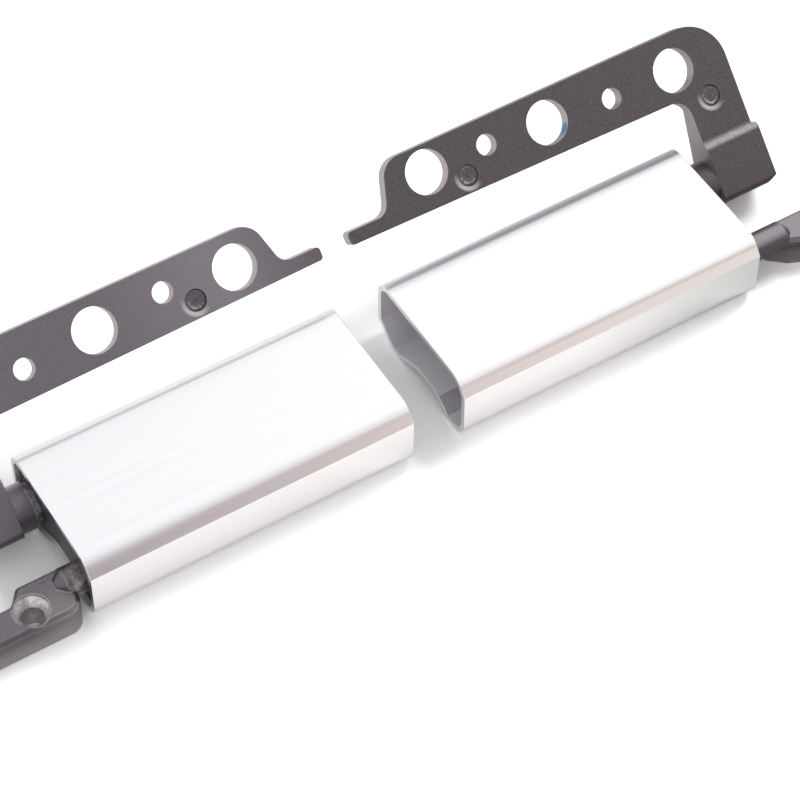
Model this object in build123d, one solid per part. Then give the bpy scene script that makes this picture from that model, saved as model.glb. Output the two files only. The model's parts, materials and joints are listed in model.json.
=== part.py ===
"""A pair of two-axis laptop hinges, left and right, lying side by side.

Each hinge has an extruded sleeve that carries two parallel shafts. The rear
shaft turns the display bracket and the front shaft turns the base bracket.
X runs along the shafts, from the left hinge to the right one. Y runs from the
base side to the display side. Z is up, and Z = 0 is the table. The pieces are
drawn with Y = 0 midway between the shafts, and moved at the end so that the
origin is the middle of the pair's footprint.
Lengths are in millimetres and angles in degrees.
"""

from build123d import *
from dataclasses import dataclass
from math import cos, pi, radians, sin
import os

# Sleeve: a thin extrusion with a flat top and two lobes below. Its top rolls over
# into a slanting face in front, which meets the side at a crisp edge.
SLEEVE_LENGTH = 36.0
SLEEVE_WIDTH = 16.6
SLEEVE_HEIGHT = 8.45
SLEEVE_WALL = 0.6
PAIR_GAP = 5.9
TOP_FRONT_SLANT_RUN = 1.37
TOP_FRONT_SLANT_DROP = 1.84
TOP_FRONT_RADIUS = 2.5
TOP_FRONT_EDGE_RADIUS = 0.35
TOP_REAR_RADIUS = 1.8
LOW_FRONT_RADIUS = 2.2
REAR_WALL_FOOT = 2.4
REAR_WALL_FOOT_RADIUS = 1.2
WAIST_RISE = 1.75
WAIST_FRONT_OFFSET = 2.3
WAIST_REAR_OFFSET = 5.3
FRONT_LOBE_FOOT = 0.1
REAR_LOBE_OUTER = 0.3
REAR_LOBE_INNER = 1.0
WAIST_RADIUS = 1.6
LOBE_RADIUS = 0.8

# Shafts: each axis lies a margin in from the sleeve's side
AXIS_MARGIN = 3.3
AXIS_HEIGHT = 3.55
JOURNAL_RADIUS = 1.5
PACK_SHAFT_RADIUS = 1.4
KEY_FLAT_WIDTH = 2.1
THREAD_RADIUS = 1.15
SPIGOT_RADIUS_DISPLAY = 1.4
SPIGOT_RADIUS_BASE = 1.1
SPIGOT_LENGTH_DISPLAY = 7.0
SPIGOT_LENGTH_BASE = 0.6

# Fits
JOURNAL_CLEARANCE = 0.02
KEY_CLEARANCE = 0.03
SPIGOT_CLEARANCE = 0.01
SLEEVE_FIT_CLEARANCE = 0.03
STACK_CLEARANCE = 0.02
HUB_END_CLEARANCE = 0.05

# Friction pack inside each sleeve
END_PLATE_THICKNESS = 1.6
END_PLATE_RECESS = 0.5
FRICTION_PLATE_COUNT = 3
FRICTION_PLATE_THICKNESS = 0.6
FRICTION_PLATE_TOP = 6.4
FRICTION_PLATE_HOLE_CLEARANCE = 0.12
WASHER_RADIUS = 2.1
WASHER_THICKNESS = 0.4
DISC_COUNT = 4
DISC_THICKNESS = 0.3
DISC_CONE_HEIGHT = 0.18
DISC_CLEARANCE = 0.08
PRESSURE_WASHER_THICKNESS = 0.6
NUT_ACROSS_FLATS = 3.7
NUT_THICKNESS = 1.8
THREAD_OVERHANG = 0.6
RING_SIDES = 16

# Travel stops: a lug on a keyed ring runs in a pocket of the end plate
TRAVEL = 180.0
TRAVEL_MARGIN = 2.0
STOP_LUG_ANGLE = 60.0
STOP_RING_RADIUS = 1.75
STOP_LUG_RADIUS = 2.1
STOP_THICKNESS = 0.7
STOP_CLEARANCE = 0.05
DISPLAY_TRAVEL_DOWN = 135.0
BASE_TRAVEL_DOWN = 90.0

# Display bracket: a flat strip, an arm and a thick knuckle round the rear shaft
DISPLAY_TILT = 45.0
PLATE_THICKNESS = 1.5
PLATE_FACE_OFFSET = 2.1
STRIP_TOP = 16.6
STRIP_LOW_INNER = 10.1
STRIP_LOW_OUTER = 9.5
TAB_TOP = 11.5
TAB_END_RADIUS = 0.4
SHOULDER_FOOT = 3.2
SHOULDER_HEAD = 4.8
SHOULDER_FOOT_RADIUS = 1.5
SHOULDER_HEAD_RADIUS = 2.3
ARM_WIDTH = 6.15
ARM_INNER_RADIUS = 1.9
ARM_OUTER_RADIUS = 4.5
BIG_HOLE_RADIUS = 2.37
SMALL_HOLE_RADIUS = 1.13
DIMPLE_RADIUS = 1.15
DIMPLE_DEPTH = 0.25
DIMPLE_INNER = (13.0, 11.7)
DIMPLE_OUTER_INSET = 2.85
DIMPLE_OUTER_HEIGHT = 8.7
KNUCKLE_RADIUS = 2.5
HUB_PILOT_RADIUS = 2.2
HUB_CLEARANCE = 0.1
KNUCKLE_RIDGE = 4.15
KNUCKLE_RIDGE_CHAMFER = 0.35
KNUCKLE_FRONT_RADIUS = 0.8
KNUCKLE_OVERHANG = 0.5
KNUCKLE_CORNER_RUN = 1.15
KNUCKLE_CORNER_RISE = 0.6
KNUCKLE_BACK_RUN = 3.4
ARM_WEB_RUN = 9.0

# Base bracket: a thick bar with two screw seats, level with the table.
# Its places across the bar are measured from the front shaft's axis.
BAR_HEIGHT = 3.75
BAR_PROUD = 0.2
BAR_REAR_REACH = 1.85
BAR_WAIST_REACH = 0.15
BAR_EDGE_CHAMFER = 0.4
BAR_CORNER_RADIUS = 1.8
BAR_REAR_RADIUS = 0.7
BASE_HUB_RADIUS = 1.5
BASE_HUB_REACH = 1.6
BASE_HUB_CHAMFER = 0.9
SEAT_OFFSET = 4.8
SEAT_PITCH = 11.0
SEAT_END_MARGIN = 3.85
SEAT_SETBACK = 1.4
SEAT_RADIUS = 1.9
SEAT_DEPTH = 0.3
SEAT_CONE_DEPTH = 0.8
SEAT_HOLE_RADIUS = 1.1
LOBE_HALF_LENGTH = 0.1
LOBE_RAMP = 1.3
BEVEL_DEPTH = 3.8
BEVEL_STEP = 2.2
BEVEL_NEAR = 1.1
BEVEL_FAR = 6.0
BEVEL_LEAD = 0.7
BEVEL_TIP_RADIUS = 0.6

# What differs between the right and the left hinge
RIGHT_FIRST_HOLE = 8.85
RIGHT_MIDDLE_HOLE_SHIFT = -0.575
RIGHT_LAST_HOLE_INSET = 6.4
RIGHT_HOLE_LINE = 13.8
RIGHT_HOLE_LINE_DROP = 1.05
RIGHT_SMALL_HOLE_STEP = 0.26
RIGHT_TAB_END = -1.6
RIGHT_ARM_GAP = 3.15
RIGHT_BAR_GAP = 4.6
LEFT_FIRST_HOLE = 8.0
LEFT_MIDDLE_HOLE_SHIFT = -0.1
LEFT_LAST_HOLE_INSET = 4.7
LEFT_HOLE_LINE = 13.1
LEFT_HOLE_LINE_DROP = -0.15
LEFT_SMALL_HOLE_STEP = 0.65
LEFT_TAB_END = -1.0
LEFT_ARM_GAP = 2.15
LEFT_BAR_GAP = 0.85

FRONT_Y = AXIS_MARGIN - SLEEVE_WIDTH / 2
REAR_Y = SLEEVE_WIDTH / 2 - AXIS_MARGIN
SLEEVE_START = PAIR_GAP / 2
SLEEVE_END = SLEEVE_START + SLEEVE_LENGTH
END_PLATE_FACE = SLEEVE_END - END_PLATE_RECESS
PACK_FACE = END_PLATE_FACE - END_PLATE_THICKNESS
HUB_START = END_PLATE_FACE + HUB_END_CLEARANCE
PLATE_PITCH = FRICTION_PLATE_THICKNESS + WASHER_THICKNESS + 2 * STACK_CLEARANCE
SPRING_FACE = PACK_FACE - FRICTION_PLATE_COUNT * PLATE_PITCH - STACK_CLEARANCE
DISC_PITCH = DISC_THICKNESS + DISC_CONE_HEIGHT
SPRING_END = SPRING_FACE - DISC_COUNT * DISC_PITCH
NUT_FACE = SPRING_END - PRESSURE_WASHER_THICKNESS - 2 * STACK_CLEARANCE
THREAD_END = NUT_FACE - NUT_THICKNESS - THREAD_OVERHANG
BAR_FRONT = -SLEEVE_WIDTH / 2 - BAR_PROUD
BAR_REAR = FRONT_Y + BAR_REAR_REACH
BAR_WAIST_REAR = FRONT_Y + BAR_WAIST_REACH
SEAT_Y = FRONT_Y - SEAT_SETBACK

# Both bars end at the same distance, a margin past the farther last seat
BAR_END = SLEEVE_END + max(RIGHT_BAR_GAP, LEFT_BAR_GAP)
BAR_END += SEAT_OFFSET + SEAT_PITCH + SEAT_END_MARGIN

# Middle of the footprint, between the base bars' front and the strips' rear
PLATE_BACK_OFFSET = PLATE_FACE_OFFSET - PLATE_THICKNESS
STRIP_REAR = REAR_Y + STRIP_TOP * cos(radians(DISPLAY_TILT))
STRIP_REAR -= PLATE_BACK_OFFSET * sin(radians(DISPLAY_TILT))
FOOTPRINT_MIDDLE_Y = (BAR_FRONT + STRIP_REAR) / 2


@dataclass
class Side:
    """What differs between the two hinges, with X measured outwards."""

    name: str
    mirrored: bool
    first_hole: float
    middle_hole_shift: float
    last_hole_inset: float
    hole_line: float
    hole_line_drop: float
    small_hole_step: float
    tab_end: float
    arm_gap: float
    bar_gap: float
    bevelled: bool

    @property
    def arm_inner(self):
        """The arm's edge next to the sleeve, from the sleeve's inboard end."""
        return SLEEVE_LENGTH + self.arm_gap

    @property
    def arm_outer(self):
        return self.arm_inner + ARM_WIDTH

    @property
    def bar_start(self):
        return SLEEVE_END + self.bar_gap


SIDES = (
    Side(
        "right",
        False,
        RIGHT_FIRST_HOLE,
        RIGHT_MIDDLE_HOLE_SHIFT,
        RIGHT_LAST_HOLE_INSET,
        RIGHT_HOLE_LINE,
        RIGHT_HOLE_LINE_DROP,
        RIGHT_SMALL_HOLE_STEP,
        RIGHT_TAB_END,
        RIGHT_ARM_GAP,
        RIGHT_BAR_GAP,
        True,
    ),
    Side(
        "left",
        True,
        LEFT_FIRST_HOLE,
        LEFT_MIDDLE_HOLE_SHIFT,
        LEFT_LAST_HOLE_INSET,
        LEFT_HOLE_LINE,
        LEFT_HOLE_LINE_DROP,
        LEFT_SMALL_HOLE_STEP,
        LEFT_TAB_END,
        LEFT_ARM_GAP,
        LEFT_BAR_GAP,
        False,
    ),
)

parts = {}


def rounded_face(plane, corners):
    """A face from corners given as (x, y, fillet radius)."""
    points = [(x, y) for x, y, _ in corners]
    radii = [r for _, _, r in corners]
    outline = FilletPolyline(*points, radius=radii, close=True)
    return plane * make_face(outline.edges())


def disc(x, y, radius, length):
    """A cylinder along +X that starts at x on the shaft line at y."""
    return Pos(x + length / 2, y, AXIS_HEIGHT) * Rot(0, 90, 0) * Cylinder(radius, length)


def many_sided(x, y, radius, across_corners=True):
    """A face with RING_SIDES sides at x, round the shaft line at y."""
    outline = RegularPolygon(radius, RING_SIDES, major_radius=across_corners)
    return Plane.YZ.offset(x) * Pos(y, AXIS_HEIGHT) * outline


def keyed_bar(x, y, radius, flat_width, length):
    """A shaft stretch with two flats above and below the axis."""
    flats = Pos(x + length / 2, y, AXIS_HEIGHT) * Box(length, 2 * radius, flat_width)
    return disc(x, y, radius, length) & flats


def key_hole(x, y, thickness):
    """The flatted hole of a piece that its shaft turns."""
    radius = PACK_SHAFT_RADIUS + KEY_CLEARANCE
    flat_width = KEY_FLAT_WIDTH + 2 * KEY_CLEARANCE
    return keyed_bar(x, y, radius, flat_width, thickness)


def keyed_ring(x, y, radius, thickness):
    """A washer that a flatted shaft turns."""
    return extrude(many_sided(x, y, radius), thickness) - key_hole(x, y, thickness)


def sector(x, y, radius, thickness, middle, angle):
    """A pie slice round a shaft line, with its middle at an angle from +Y."""
    reach = 2 * radius
    steps = 8
    rim = [
        (
            y + reach * cos(radians(middle + angle * (i / steps - 0.5))),
            AXIS_HEIGHT + reach * sin(radians(middle + angle * (i / steps - 0.5))),
        )
        for i in range(steps + 1)
    ]
    slice_face = Plane.YZ.offset(x) * make_face(Polyline((y, AXIS_HEIGHT), *rim, close=True).edges())
    return extrude(slice_face, thickness) & extrude(many_sided(x, y, radius), thickness)


def sleeve_section(x):
    """The outer outline of the sleeve, as a face at x."""
    half = SLEEVE_WIDTH / 2
    corners = [
        (TOP_FRONT_SLANT_RUN - half, SLEEVE_HEIGHT, TOP_FRONT_RADIUS),
        (half, SLEEVE_HEIGHT, TOP_REAR_RADIUS),
        (half, REAR_WALL_FOOT, REAR_WALL_FOOT_RADIUS),
        (REAR_Y + REAR_LOBE_OUTER, 0, LOBE_RADIUS),
        (REAR_Y - REAR_LOBE_INNER, 0, LOBE_RADIUS),
        (FRONT_Y + WAIST_REAR_OFFSET - FRONT_LOBE_FOOT, WAIST_RISE, WAIST_RADIUS),
        (FRONT_Y + WAIST_FRONT_OFFSET, WAIST_RISE, WAIST_RADIUS),
        (FRONT_Y - FRONT_LOBE_FOOT, 0, LOBE_RADIUS),
        (-half, 0, LOW_FRONT_RADIUS),
        (-half, SLEEVE_HEIGHT - TOP_FRONT_SLANT_DROP, TOP_FRONT_EDGE_RADIUS),
    ]
    return rounded_face(Plane.YZ.offset(x), corners)


def inner_section(x, clearance):
    """The sleeve's bore, shrunk by a clearance all round."""
    return offset(sleeve_section(x), amount=-(SLEEVE_WALL + clearance))


def cover_sleeve():
    outer = extrude(sleeve_section(SLEEVE_START), SLEEVE_LENGTH)
    bore = extrude(inner_section(SLEEVE_START, 0), SLEEVE_LENGTH)
    return outer - bore


def stop_fixed_angle():
    """The solid part of a stop pocket, which leaves the lug its travel."""
    return 360 - TRAVEL - TRAVEL_MARGIN - STOP_LUG_ANGLE


def stop_lug_middle(rest_to_low):
    """Where a lug points at rest, so that it meets the stop at both limits."""
    low_wall = stop_fixed_angle() / 2
    return low_wall + TRAVEL_MARGIN / 2 + STOP_LUG_ANGLE / 2 + rest_to_low


def end_plate():
    """The bearing plate: it fills the sleeve's end and holds both shafts."""
    plate = extrude(inner_section(PACK_FACE, SLEEVE_FIT_CLEARANCE), END_PLATE_THICKNESS)
    for y in (FRONT_Y, REAR_Y):
        plate -= disc(PACK_FACE, y, JOURNAL_RADIUS + JOURNAL_CLEARANCE, END_PLATE_THICKNESS)
        depth = STOP_THICKNESS + STOP_CLEARANCE
        pocket = extrude(many_sided(PACK_FACE, y, STOP_LUG_RADIUS + STOP_CLEARANCE, False), depth)
        fixed = sector(PACK_FACE, y, 2 * STOP_LUG_RADIUS, depth, 0, stop_fixed_angle())
        fixed -= extrude(many_sided(PACK_FACE, y, STOP_RING_RADIUS + STOP_CLEARANCE, False), depth)
        plate -= pocket - fixed
    return plate


def stop_ring(y, rest_to_low):
    """A keyed ring whose lug limits the turn of one shaft."""
    ring = extrude(many_sided(PACK_FACE, y, STOP_RING_RADIUS), STOP_THICKNESS)
    ring += sector(
        PACK_FACE,
        y,
        STOP_LUG_RADIUS,
        STOP_THICKNESS,
        stop_lug_middle(rest_to_low),
        STOP_LUG_ANGLE,
    )
    return ring - key_hole(PACK_FACE, y, STOP_THICKNESS)


def friction_plate(index):
    """A plate that the lobes of the sleeve keep from turning."""
    x = PACK_FACE - (index + 1) * PLATE_PITCH
    plate = extrude(inner_section(x, SLEEVE_FIT_CLEARANCE), FRICTION_PLATE_THICKNESS)
    keep = Box(2 * FRICTION_PLATE_THICKNESS, SLEEVE_WIDTH, FRICTION_PLATE_TOP)
    plate &= Pos(x + FRICTION_PLATE_THICKNESS / 2, 0, FRICTION_PLATE_TOP / 2) * keep
    hole_radius = PACK_SHAFT_RADIUS + FRICTION_PLATE_HOLE_CLEARANCE
    for y in (FRONT_Y, REAR_Y):
        plate -= extrude(many_sided(x, y, hole_radius, False), FRICTION_PLATE_THICKNESS)
    return plate


def friction_washer(index, y):
    """A keyed washer between two plates, turned by its shaft."""
    x = PACK_FACE - index * PLATE_PITCH - STACK_CLEARANCE - WASHER_THICKNESS
    return keyed_ring(x, y, WASHER_RADIUS, WASHER_THICKNESS)


def faceted_ring(y, profile):
    """A ring round the shaft line at y, from a closed (x, radius) profile."""
    turns = [2 * pi * i / RING_SIDES for i in range(RING_SIDES)]
    rows = [
        [(x, y + radius * cos(turn), AXIS_HEIGHT + radius * sin(turn)) for turn in turns]
        for x, radius in profile
    ]
    faces = []
    for row, next_row in zip(rows, rows[1:] + rows[:1]):
        for i in range(RING_SIDES):
            after = (i + 1) % RING_SIDES
            faces.append(Face(Wire.make_polygon([row[i], row[after], next_row[after], next_row[i]])))
    return Solid(Shell(faces))


def spring_disc(y):
    """One conical disc: its outer rim starts at x = 0 and its bore stands higher."""
    thickness = DISC_THICKNESS - STACK_CLEARANCE
    bore_radius = (PACK_SHAFT_RADIUS + DISC_CLEARANCE) / cos(pi / RING_SIDES)
    profile = [
        (0, WASHER_RADIUS),
        (thickness, WASHER_RADIUS),
        (DISC_CONE_HEIGHT + thickness, bore_radius),
        (DISC_CONE_HEIGHT, bore_radius),
    ]
    return faceted_ring(y, profile)


def disc_springs(y):
    """Conical spring discs, stacked in opposed pairs."""
    rising = spring_disc(y)
    falling = Pos(DISC_PITCH - STACK_CLEARANCE, 0, 0) * mirror(rising, about=Plane.YZ)
    places = [SPRING_FACE - (i + 1) * DISC_PITCH for i in range(DISC_COUNT)]
    return Compound([Pos(x, 0, 0) * (falling if i % 2 else rising) for i, x in enumerate(places)])


def pressure_washer(y):
    """The thick keyed washer between the springs and the nut."""
    x = SPRING_END - STACK_CLEARANCE - PRESSURE_WASHER_THICKNESS
    return keyed_ring(x, y, WASHER_RADIUS, PRESSURE_WASHER_THICKNESS)


def lock_nut(y):
    """A hexagon nut on the thread."""
    x = NUT_FACE - NUT_THICKNESS
    hexagon = RegularPolygon(NUT_ACROSS_FLATS / 2, 6, major_radius=False)
    nut = extrude(Plane.YZ.offset(x) * Pos(y, AXIS_HEIGHT) * hexagon, NUT_THICKNESS)
    return nut - extrude(many_sided(x, y, THREAD_RADIUS + SPIGOT_CLEARANCE, False), NUT_THICKNESS)


def shaft(y, spigot_radius, spigot_length):
    """A turned shaft: thread, flatted stretch, journal and pressed spigot."""
    thread = extrude(many_sided(THREAD_END, y, THREAD_RADIUS), NUT_FACE - THREAD_END)
    journal_start = PACK_FACE + STOP_THICKNESS
    flatted = keyed_bar(NUT_FACE, y, PACK_SHAFT_RADIUS, KEY_FLAT_WIDTH, journal_start - NUT_FACE)
    journal = disc(journal_start, y, JOURNAL_RADIUS, HUB_START - journal_start)
    spigot = disc(HUB_START, y, spigot_radius, spigot_length)
    return thread + flatted + journal + spigot


def spigot_bore(y, radius, length):
    return disc(HUB_START, y, radius + SPIGOT_CLEARANCE, length + SPIGOT_CLEARANCE)


def display_plane(rise):
    """The plane of the display strip, raised from the rear shaft's axis."""
    tilt = radians(DISPLAY_TILT)
    normal = (0, -sin(tilt), cos(tilt))
    origin = (SLEEVE_START, REAR_Y + rise * normal[1], AXIS_HEIGHT + rise * normal[2])
    return Plane(origin=origin, x_dir=(1, 0, 0), z_dir=normal)


def hole_places(side):
    """Places of the big and the small holes on the display strip.

    The first big hole is set from the sleeve's inboard end and the last from the arm's edge.
    """
    last = side.arm_outer - side.last_hole_inset
    middle = (side.first_hole + last) / 2 + side.middle_hole_shift
    xs = [side.first_hole, middle, last]
    slope = side.hole_line_drop / (xs[-1] - xs[0])
    big = [(x, side.hole_line - slope * (x - xs[0])) for x in xs]
    small = []
    for (x0, s0), (x1, s1), step in zip(big, big[1:], (1, -1)):
        small.append(((x0 + x1) / 2, (s0 + s1) / 2 + step * side.small_hole_step))
    return big, small


def display_bracket(side):
    under = display_plane(PLATE_BACK_OFFSET)
    corners = [
        (side.tab_end, STRIP_LOW_INNER, TAB_END_RADIUS),
        (side.arm_inner, STRIP_LOW_OUTER, ARM_INNER_RADIUS),
        (side.arm_inner, 0, 0),
        (side.arm_outer, 0, 0),
        (side.arm_outer, STRIP_TOP, ARM_OUTER_RADIUS),
        (SHOULDER_HEAD, STRIP_TOP, SHOULDER_HEAD_RADIUS),
        (SHOULDER_FOOT, TAB_TOP, SHOULDER_FOOT_RADIUS),
        (side.tab_end, TAB_TOP, TAB_END_RADIUS),
    ]
    plate = extrude(rounded_face(under, corners), PLATE_THICKNESS)

    big, small = hole_places(side)
    for places, radius in ((big, BIG_HOLE_RADIUS), (small, SMALL_HOLE_RADIUS)):
        for x, s in places:
            plate -= under * Pos(x, s, PLATE_THICKNESS / 2) * Cylinder(radius, 2 * PLATE_THICKNESS)
    outer_dimple = (side.arm_inner + DIMPLE_OUTER_INSET, DIMPLE_OUTER_HEIGHT)
    for x, s in (DIMPLE_INNER, outer_dimple):
        floor = PLATE_THICKNESS - DIMPLE_DEPTH / 2
        plate -= under * Pos(x, s, floor) * Cylinder(DIMPLE_RADIUS, DIMPLE_DEPTH)

    hub_start = SLEEVE_END + HUB_CLEARANCE
    hub = disc(hub_start, REAR_Y, KNUCKLE_RADIUS, SLEEVE_START + side.arm_inner - hub_start)
    pilot = disc(HUB_START, REAR_Y, HUB_PILOT_RADIUS, hub_start - HUB_START)
    bracket = plate + knuckle(side) + arm_web(side) + hub + pilot
    return bracket - spigot_bore(REAR_Y, SPIGOT_RADIUS_DISPLAY, SPIGOT_LENGTH_DISPLAY)


def arm_section_plane(side):
    """A plane across the arm at its inner edge: x runs up the arm, y to its face."""
    strip = display_plane(0)
    return Plane(
        origin=strip.origin + Vector(side.arm_inner, 0, 0),
        x_dir=strip.y_dir,
        z_dir=(1, 0, 0),
    )


def knuckle(side):
    """The thick root of the arm, square in front and round behind the rear shaft."""
    r = KNUCKLE_RADIUS
    tight = KNUCKLE_FRONT_RADIUS
    diagonal = cos(radians(45))
    outline = [
        Line((KNUCKLE_RIDGE, PLATE_BACK_OFFSET), (KNUCKLE_RIDGE, r - KNUCKLE_RIDGE_CHAMFER)),
        Line((KNUCKLE_RIDGE, r - KNUCKLE_RIDGE_CHAMFER), (KNUCKLE_RIDGE - KNUCKLE_RIDGE_CHAMFER, r)),
        Line((KNUCKLE_RIDGE - KNUCKLE_RIDGE_CHAMFER, r), (tight - r, r)),
        ThreePointArc(
            (tight - r, r),
            (tight - r - tight * diagonal, r - tight + tight * diagonal),
            (-r, r - tight),
        ),
        Line((-r, r - tight), (-r, 0)),
        ThreePointArc((-r, 0), (-r * diagonal, -r * diagonal), (0, -r)),
        Line((0, -r), (KNUCKLE_BACK_RUN, PLATE_BACK_OFFSET)),
        Line((KNUCKLE_BACK_RUN, PLATE_BACK_OFFSET), (KNUCKLE_RIDGE, PLATE_BACK_OFFSET)),
    ]
    section = arm_section_plane(side) * make_face([line.edge() for line in outline])
    block = extrude(section, ARM_WIDTH + KNUCKLE_OVERHANG)

    end = side.arm_outer + KNUCKLE_OVERHANG
    corner = Polyline(
        (end - KNUCKLE_CORNER_RUN, -r),
        (end, KNUCKLE_CORNER_RISE - r),
        (end + KNUCKLE_CORNER_RUN, -2 * r),
        close=True,
    )
    return block - extrude(display_plane(0) * make_face(corner.edges()), r, both=True)


def arm_web(side):
    """The arm thickens behind, from the strip down to the knuckle."""
    outline = Polyline(
        (0, -KNUCKLE_RADIUS),
        (ARM_WEB_RUN, PLATE_BACK_OFFSET),
        (0, PLATE_BACK_OFFSET),
        close=True,
    )
    return extrude(arm_section_plane(side) * make_face(outline.edges()), ARM_WIDTH)


def bar_corners(side):
    """The base bar seen from above; a bevelled bar is cut back near its hub."""
    start = side.bar_start
    first_seat = start + SEAT_OFFSET
    last_seat = first_seat + SEAT_PITCH
    if side.bevelled:
        near = [
            (start + BEVEL_FAR, BAR_FRONT, BAR_CORNER_RADIUS),
            (start + BEVEL_NEAR, BAR_FRONT + BEVEL_STEP, BAR_REAR_RADIUS),
            (start - BEVEL_LEAD, BAR_FRONT + BEVEL_DEPTH, BEVEL_TIP_RADIUS),
            (start - BEVEL_LEAD, BAR_REAR, BAR_REAR_RADIUS),
        ]
    else:
        near = [
            (start, BAR_FRONT, BAR_CORNER_RADIUS),
            (start, BAR_REAR, BAR_REAR_RADIUS),
        ]
    waist = [
        (first_seat + LOBE_HALF_LENGTH, BAR_REAR, BAR_REAR_RADIUS),
        (first_seat + LOBE_HALF_LENGTH + LOBE_RAMP, BAR_WAIST_REAR, BAR_REAR_RADIUS),
        (last_seat - LOBE_HALF_LENGTH - LOBE_RAMP, BAR_WAIST_REAR, BAR_REAR_RADIUS),
        (last_seat - LOBE_HALF_LENGTH, BAR_REAR, BAR_REAR_RADIUS),
    ]
    far = [
        (BAR_END, BAR_REAR, BAR_CORNER_RADIUS),
        (BAR_END, BAR_FRONT, BAR_CORNER_RADIUS),
    ]
    return near + waist + far


def base_bracket(side):
    start = side.bar_start
    bar = extrude(rounded_face(Plane.XY, bar_corners(side)), BAR_HEIGHT)
    bar = chamfer(bar.faces().sort_by(Axis.Z)[-1].edges(), BAR_EDGE_CHAMFER)

    hub = disc(HUB_START, FRONT_Y, BASE_HUB_RADIUS, start + BASE_HUB_REACH - HUB_START)
    far_rim = hub.edges().filter_by(GeomType.CIRCLE).sort_by(Axis.X)[-1]
    bar += chamfer(far_rim, BASE_HUB_CHAMFER)
    for i in range(2):
        seat = Pos(start + SEAT_OFFSET + i * SEAT_PITCH, SEAT_Y, 0)
        bar -= seat * Pos(0, 0, BAR_HEIGHT / 2) * Cylinder(SEAT_HOLE_RADIUS, 2 * BAR_HEIGHT)
        cone_middle = BAR_HEIGHT - SEAT_DEPTH - SEAT_CONE_DEPTH / 2
        bar -= seat * Pos(0, 0, cone_middle) * Cone(SEAT_HOLE_RADIUS, SEAT_RADIUS, SEAT_CONE_DEPTH)
        cut_middle = BAR_HEIGHT - SEAT_DEPTH + SLEEVE_HEIGHT / 2
        bar -= seat * Pos(0, 0, cut_middle) * Cylinder(SEAT_RADIUS, SLEEVE_HEIGHT)
    return bar - spigot_bore(FRONT_Y, SPIGOT_RADIUS_BASE, side.bar_gap + SPIGOT_LENGTH_BASE)


def add(side, name, shape):
    """Keep a piece in its final place, mirrored for the left hinge."""
    if side.mirrored:
        shape = mirror(shape, about=Plane.YZ)
    parts[f"{side.name}_{name}"] = Pos(0, -FOOTPRINT_MIDDLE_Y, 0) * shape


def build_hinge(side):
    add(side, "cover_sleeve", cover_sleeve())
    add(side, "end_plate", end_plate())
    for i in range(FRICTION_PLATE_COUNT):
        add(side, f"friction_plate_{i + 1}", friction_plate(i))

    add(side, "display_bracket", display_bracket(side))
    add(side, "display_shaft", shaft(REAR_Y, SPIGOT_RADIUS_DISPLAY, SPIGOT_LENGTH_DISPLAY))
    add(side, "base_bracket", base_bracket(side))
    base_spigot = side.bar_gap + SPIGOT_LENGTH_BASE
    add(side, "base_shaft", shaft(FRONT_Y, SPIGOT_RADIUS_BASE, base_spigot))

    for label, y, rest_to_low in (
        ("display", REAR_Y, DISPLAY_TRAVEL_DOWN),
        ("base", FRONT_Y, BASE_TRAVEL_DOWN),
    ):
        add(side, f"{label}_stop_ring", stop_ring(y, rest_to_low))
        for i in range(FRICTION_PLATE_COUNT):
            add(side, f"{label}_friction_washer_{i + 1}", friction_washer(i, y))
        add(side, f"{label}_disc_springs", disc_springs(y))
        add(side, f"{label}_pressure_washer", pressure_washer(y))
        add(side, f"{label}_lock_nut", lock_nut(y))


for hinge_side in SIDES:
    build_hinge(hinge_side)

os.makedirs("parts", exist_ok=True)
for node, piece in parts.items():
    export_step(piece, f"parts/{node}.step")
print(len(parts), "pieces written")
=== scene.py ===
"""The laptop hinge pair on a white table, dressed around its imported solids.

Lengths are in metres in the part's own frame: X along the shafts, Y from the
base side to the display side, Z up, and Z = 0 at the table.
"""

import json
from math import cos, pi, radians, sin, tau

import bmesh
import bpy
import numpy as np
from mathutils import Euler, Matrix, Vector


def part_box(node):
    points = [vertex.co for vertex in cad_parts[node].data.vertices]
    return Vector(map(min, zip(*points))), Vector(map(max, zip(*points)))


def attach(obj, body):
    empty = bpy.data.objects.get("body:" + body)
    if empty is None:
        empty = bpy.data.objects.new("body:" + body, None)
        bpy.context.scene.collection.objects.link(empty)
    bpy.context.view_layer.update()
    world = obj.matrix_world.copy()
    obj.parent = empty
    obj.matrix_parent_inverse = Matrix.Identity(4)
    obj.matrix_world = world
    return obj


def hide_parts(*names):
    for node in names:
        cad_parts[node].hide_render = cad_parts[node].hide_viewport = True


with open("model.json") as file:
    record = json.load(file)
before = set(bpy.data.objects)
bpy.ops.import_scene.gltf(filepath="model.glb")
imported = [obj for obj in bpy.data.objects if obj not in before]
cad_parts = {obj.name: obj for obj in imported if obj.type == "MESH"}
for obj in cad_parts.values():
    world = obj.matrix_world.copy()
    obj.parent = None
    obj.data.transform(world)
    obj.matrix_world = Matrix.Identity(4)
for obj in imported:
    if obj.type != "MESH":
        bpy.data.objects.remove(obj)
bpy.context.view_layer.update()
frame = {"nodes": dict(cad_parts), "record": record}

MM = 0.001
SIDES = ("right", "left")
SHAFTS = ("display", "base")

# Camera: place, turn in degrees, lens and sensor in millimetres
CAMERA_PLACE = (-0.09947, -0.16570, 0.24361)
CAMERA_TURN = (37.8822, -0.1405, -31.5365)
CAMERA_LENS = 136.22
CAMERA_SENSOR = 36.0
CAMERA_CLIP = (0.01, 20.0)

# Sleeves: their ends along X and the height of the bore's middle
SLEEVE_INNER_END = 2.95 * MM
SLEEVE_OUTER_END = 38.95 * MM
SLEEVE_BORE_HEIGHT = 4.4 * MM
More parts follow.
